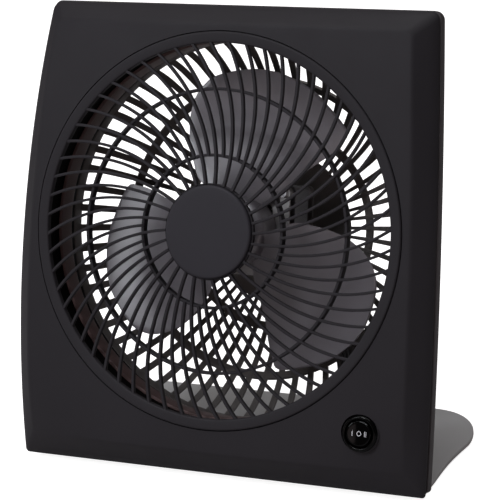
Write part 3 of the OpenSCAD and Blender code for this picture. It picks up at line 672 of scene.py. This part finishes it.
def blades():
    """The blades, each a closed skin with thin round edges, and the cup-shaped hub."""
    shape = Shape()
    steps_out, steps_across = 40, 28
    # points across a blade, each with half the blade's thickness there
    edge = []
    for i in range(steps_across + 1):
        f = i / steps_across
        edge.append((f, BLADE_T * 0.5 * (1 - (2 * f - 1) ** 8) ** 0.5 + 0.12))
    for k in range(BLADE_COUNT):
        a = math.radians(360 / BLADE_COUNT * k)
        rows = []
        for j in range(steps_out + 1):
            r = ROOT_R + (TIP_R - ROOT_R) * math.sin(j / steps_out * math.pi / 2)
            top = [blade_point(r, f, BLADE_T / 2 - t) for f, t in edge]
            low = [blade_point(r, f, BLADE_T / 2 + t) for f, t in reversed(edge)]
            rows.append([(x * math.cos(a) - y * math.sin(a), x * math.sin(a) + y * math.cos(a), z)
                         for x, y, z in top + low])
        shape.rows(rows, caps=True)
    d = HUB_D
    shape.turned([(3, -d), (17, -d), (20.5, -d - 1), (22, -d - 3.1), (22, -51), (19.4, -51), (19.4, -d - 3.6),
                  (7, -d - 3.6), (7, -46), (3, -46)], [0, 1, 2, 2, 0.6, 0.4, 0.8, 0.8, 0.4, 0], 4, 128)
    shape.make("three_blade_fan", BLADE, "blade_grey", "rotor", "fan_blades", sharp=50)


def nut():
    """The nut that holds the blades on the shaft: a domed body, its end and a ring of grip ribs."""
    shape = Shape()
    z = -HUB_D
    grips = 12
    shape.turned([(3.01, z + 9.6), (5.5, z + 9.5), (8.6, z + 7.6), (9.4, z + 5.4), (9.4, z + 1.8),
                  (12, z + 1.2), (12, z + 0.05), (3.01, z + 0.05)], [0, 1, 1, 1, 0.5, 0.4, 0.3, 0], 4, 96)
    shape.turned([(MIDDLE, z + 9.7), (3.6, z + 9.6), (3.6, z + 8.8), (MIDDLE, z + 8.8)], 0.2, steps=48)
    for k in range(grips):
        x, y, _ = polar(9.2, 360 / grips * k, 0)
        shape.turned([(MIDDLE, z + 7), (0.9, z + 7), (0.9, z + 1.5), (MIDDLE, z + 1.5)], 0.3, 2, 16, x, y)
    shape.make("blade_lock_nut", DARK, "dark_plastic", "rotor", "blade_nut")


# ---------- switch ----------
def switch_bezel():
    """The switch's body behind the panel and its raised round bezel."""
    shape = Shape()
    shape.turned([(9.2, -13), (9.2, -2.9), (9.8, -2.3), (10.5, -2.3), (11.4, -3), (11.8, -4),
                  (11.8, -SEAT_D), (10, -SEAT_D), (10, -24), (MIDDLE, -24), (MIDDLE, -13)],
                 [0.3, 0.6, 0.5, 0.8, 0.8, 0.6, 0.2, 0.3, 0.5, 0, 0], 4, 128, SW_X, SW_Y)
    shape.make("switch_bezel", GLOSS, "black_gloss", "fan_body", "switch_housing")


def rocker_height(x):
    """Height of the button's dished front, x mm to the side of its middle."""
    return -2.9 + 1.4 * (abs(x) / BUTTON_R) ** 1.6


def switch_button():
    """The round rocker: a dished front with a soft edge, and a narrow foot behind it."""
    shape = Shape()
    steps = 96
    rows = [[(SW_X, SW_Y, rocker_height(0))] * steps]
    front = [(2, 0), (4, 0), (6, 0), (7.2, 0), (7.7, 0.06), (8.05, 0.25), (8.25, 0.6), (BUTTON_R, 1.2)]
    for r, drop in front:
        rows.append([(SW_X + x, SW_Y + y, rocker_height(x) - drop) for x, y, _ in circle(r, 0, steps)])
    rows.append(circle(BUTTON_R, -4.6, steps, SW_X, SW_Y))
    rows.append([(SW_X + x * 0.4, SW_Y + y, -8.6) for x, y, _ in circle(8.0, 0, steps)])
    rows.append([(SW_X, SW_Y, -9)] * steps)
    shape.rows(rows)
    shape.make("rocker_button", GLOSS, "black_gloss", "rocker", "switch_rocker")


def switch_print():
    """The marks I, O and II, printed just proud of the button."""
    shape = Shape()
    proud, half_height, half_stroke, ring_r = 0.07, 1.6, 0.2, 1.55
    for x in (-4.35, 3.85, 4.95):
        corners = [(x - half_stroke, -half_height), (x + half_stroke, -half_height),
                   (x + half_stroke, half_height), (x - half_stroke, half_height)]
        top = [(SW_X + x, SW_Y + y, rocker_height(x) + proud) for x, y in corners]
        shape.rows([top, [(x, y, z - 2 * proud) for x, y, z in top]], caps=True)
    ring = []
    for r, z in ((ring_r, proud), (ring_r - 0.4, proud), (ring_r - 0.4, -proud), (ring_r, -proud)):
        ring.append([(SW_X + x, SW_Y + y, rocker_height(x) + z) for x, y, _ in circle(r, 0, 40)])
    shape.rows(ring, wrap_rows=True)
    shape.make("switch_print", PRINT, "mark_grey", "rocker", "switch_marks", sharp=30)


# ---------- wiring ----------
def leads():
    """Three round leads from the switch over the guard to the motor, eased at every bend."""
    shape, turn = Shape(), math.radians(LEAD_ANGLE)
    across = Vector((-math.sin(turn), math.cos(turn), 0))
    # the leads lie side by side at this pitch
    pitch, sides = 2.6, 16

    def at(r, s, d):
        """A point out along the leads' way, s mm beside it and d mm behind the face."""
        return (r * math.cos(turn) - s * math.sin(turn), r * math.sin(turn) + s * math.cos(turn), -d)

    for k in (-1, 0, 1):
        s = pitch * k
        path = rounded([(SW_X + 5 * k, SW_Y, -33.4), at(148, 4.5 * k + 2, 35), at(133, s, 36.5),
                        at(124, s, 40.5), at(121.8, s, 47), at(115, s, 61), at(98, s, 78.6), at(84, s, 89.5),
                        at(67, s, 97.6), at(50, s, 101), at(24, s, 101), at(17, s, 91)], 2.5, 5, closed=False)
        path = [Vector(p) for p in path]
        rows = []
        for i, p in enumerate(path):
            t = (path[min(i + 1, len(path) - 1)] - path[max(i - 1, 0)]).normalized()
            u = t.cross(across).normalized()
            v = u.cross(t)
            rows.append([tuple(p + (u * math.cos(a) + v * math.sin(a)) * LEAD_R)
                         for a in (math.tau * q / sides for q in range(sides))])
        shape.rows(rows, caps=True)
    shape.make("wiring_leads", LEAD_BLACK, "lead_black", "fan_body", "switch_leads")


# ---------- stand ----------
def stand():
    """The flat foot, with a soft edge all round, and the two lugs that hold the body."""
    base = ORIGIN.y / MM - AXIS_H * FORWARD.z
    z0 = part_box("stand_pads")[0].z / MM + PAD_H
    z1 = z0 + STAND_T
    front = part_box("stand_plate")[0].y / MM
    # the long sides run back to the corners, which are quarters of a blunt oval
    corner_x, corner_y, corner_w, corner_l = 102, base + 113, 40.5, 46
    side = [(front, 139.6), (base + 53, 139.6), (base + 71, 139.2), (base + 87, 139.6), (base + 101, 141),
            (corner_y, corner_x + corner_w)]
    steps = 33
    ring = []
    for k in range(steps):
        y = lerp(front, corner_y, k / steps)
        ring.append((smooth_table(y, side), y))
    for k in range(steps):
        a = math.radians(90 * k / steps)
        ring.append((corner_x + corner_w * math.cos(a) ** 0.9, corner_y + corner_l * math.sin(a)))
    ring.append((corner_x, corner_y + corner_l))
    ring += [(-x, y) for x, y in reversed(ring)]
    n = len(ring)

    def inset(e):
        """The ring set in by e all round."""
        out = []
        for i, p in enumerate(ring):
            d = Vector(ring[(i + 1) % n]) - Vector(ring[i - 1])
            q = Vector(p) + Vector((-d.y, d.x)).normalized() * e
            out.append((q.x, q.y))
        return out

    # how far each level of the edge is set in, from the top face to the underside
    levels = [(1.3, z1), (0.7, z1 - 0.08), (0.3, z1 - 0.28), (0.06, z1 - 0.62), (0, z1 - 1), (0, z0 + 0.6),
              (0.12, z0 + 0.25), (0.4, z0 + 0.06), (0.8, z0)]
    verts, faces = [], []
    for e, z in levels:
        verts += [Vector((x, y, z)) * MM for x, y in inset(e)]
    for k in range(len(levels) - 1):
        for i in range(n):
            j = (i + 1) % n
            faces.append((k * n + i, (k + 1) * n + i, (k + 1) * n + j, k * n + j))
    faces.append(tuple(range(n)))
    faces.append(tuple(reversed(range((len(levels) - 1) * n, len(levels) * n))))

    def side_point(d, v):
        """The point d behind the face and v up it, as the y and z of the row frame in mm."""
        return (-FORWARD.y * d + FORWARD.z * v + base,
                (-FORWARD.z * d - FORWARD.y * v) + ORIGIN.z / MM + FORWARD.y * AXIS_H)

    def lug(centre_x):
        """An upright tongue behind the body, with a gusset that runs down into the foot."""
        flat = [side_point(LUG_D, 25), side_point(LUG_D, 1), side_point(LUG_D + LUG_T, 9),
                side_point(LUG_D + LUG_T, 25)]
        flat[1:2] = [flat[1], (flat[1][0], z1 - 1), (flat[2][0] + 10, z1 - 1)]
        section = rounded(flat, [0.6, 0.1, 0.1, 0.1, 3, 0.8], 4)
        start, m = len(verts), len(section)
        # the section at each x along the lug's width, and how far its end is drawn in there
        ends = [(-13, 0.5), (-12.85, 0.15), (-12.5, 0), (12.5, 0), (12.85, 0.15), (13, 0.5)]
        centre = Vector((sum(p[0] for p in section) / m, sum(p[1] for p in section) / m))
        for x, e in ends:
            for point in section:
                q = centre + (Vector(point) - centre) * (1 - e / 9)
                verts.append(Vector((centre_x + x, q.x, q.y)) * MM)
        for k in range(len(ends) - 1):
            a, b = start + k * m, start + (k + 1) * m
            for i in range(m):
                j = (i + 1) % m
                faces.append((a + i, a + j, b + j, b + i))
        faces.append(tuple(start + i for i in reversed(range(m))))
        faces.append(tuple(start + (len(ends) - 1) * m + i for i in range(m)))

    lug(LUG_X)
    lug(-LUG_X)
    build("stand_foot", verts, faces, STAND, "fan_body", ["stand_plate"], sharp=40)


front_shell()
rear_shell()
air_duct()
front_ribs()
hub_cap()
guard()
blades()
nut()
switch_bezel()
switch_button()
switch_print()
leads()
stand()


# ---------- floor, light and camera ----------
def floor():
    """A pale floor that looks white to the camera and throws a dimmer light on the fan."""
    bpy.ops.mesh.primitive_plane_add(size=12)
    obj = bpy.context.object
    obj.name = "floor"
    m = bpy.data.materials.new("pale_floor")
    m.use_nodes = True
    nodes, links = m.node_tree.nodes, m.node_tree.links
    shader = nodes["Principled BSDF"]
    shader.inputs["Base Color"].default_value = (0.55, 0.53, 0.53, 1)
    shader.inputs["Roughness"].default_value = 0.9
    shader.inputs["Specular IOR Level"].default_value = 0.1
    shader.inputs["Emission Color"].default_value = (1, 1, 1, 1)
    seen = nodes.new("ShaderNodeLightPath").outputs["Is Camera Ray"]
    glow = nodes.new("ShaderNodeMath")
    glow.operation = "MULTIPLY"
    glow.inputs[1].default_value = 0.9
    links.new(seen, glow.inputs[0])
    links.new(glow.outputs["Value"], shader.inputs["Emission Strength"])
    dress(obj, m)


def softbox(name, where, target, size, power, colour=(1, 1, 1)):
    """A rectangular light at one point that faces another, in metres and watts."""
    data = bpy.data.lights.new(name, "AREA")
    data.shape = "RECTANGLE"
    data.size, data.size_y = size
    data.energy = power
    data.color = colour
    obj = bpy.data.objects.new(name, data)
    obj.location = where
    obj.rotation_mode = "QUATERNION"
    obj.rotation_quaternion = (Vector(target) - Vector(where)).to_track_quat("-Z", "Y")
    bpy.context.collection.objects.link(obj)


def surroundings():
    """White where the camera sees it, and a dimmer, warmer fill for everything else."""
    world = bpy.data.worlds.new("studio")
    bpy.context.scene.world = world
    world.use_nodes = True
    nodes, links = world.node_tree.nodes, world.node_tree.links
    seen = nodes.new("ShaderNodeLightPath").outputs["Is Camera Ray"]
    back = nodes["Background"]
    tone = nodes.new("ShaderNodeMix")
    tone.data_type = "RGBA"
    tone.inputs["A"].default_value = (0.120, 0.103, 0.104, 1)
    tone.inputs["B"].default_value = (1, 1, 1, 1)
    links.new(seen, tone.inputs["Factor"])
    links.new(tone.outputs["Result"], back.inputs["Color"])


def camera():
    """The view of the photograph, set in the fan's own frame."""
    azimuth, elevation, roll = (math.radians(a) for a in (23.99, 3.41, 2.81))
    distance, lens, sensor = 1469, 166.3, 36
    aim = (26.6, -10.0, 0)
    back = Vector((math.sin(azimuth) * math.cos(elevation), math.sin(elevation),
                   math.cos(azimuth) * math.cos(elevation)))
    level = Vector((math.cos(azimuth), 0, -math.sin(azimuth)))
    upright = back.cross(level)
    right = level * math.cos(roll) + upright * math.sin(roll)
    up = back.cross(right)

    def turn(v):
        """A direction in the fan's own frame as one in the row frame."""
        return RIGHT * v.x + UP * v.y + FORWARD * v.z

    data = bpy.data.cameras.new("camera")
    data.lens = lens
    data.sensor_width = sensor
    obj = bpy.data.objects.new("camera", data)
    bpy.context.collection.objects.link(obj)
    obj.location = place(*(Vector(aim) + back * distance))
    axes = [turn(v).normalized() for v in (right, up, back)]
    obj.rotation_mode = "QUATERNION"
    obj.rotation_quaternion = Matrix(axes).transposed().to_quaternion()
    bpy.context.scene.camera = obj


MID_FAN = (0, 0, 0.15)
COOL, PINK = (0.92, 0.95, 1.0), (1.0, 0.84, 0.84)
floor()
surroundings()
softbox("key", (-0.35, -1.65, 2.5), MID_FAN, (0.5, 0.5), 34, COOL)
softbox("front_fill", (0.6, -2.6, 0.25), (0, 0, 0.12), (1.6, 0.9), 10, PINK)
softbox("top", (0.0, 0.3, 2.2), (0, 0, 0), (2.2, 2.2), 34)
softbox("left_key", (-1.19, -1.83, 1.57), MID_FAN, (0.7, 0.7), 25, COOL)
softbox("left_fill", (-2.3, -0.3, 0.6), MID_FAN, (0.9, 1.2), 5)
camera()
bpy.context.scene.view_settings.view_transform = "Standard"
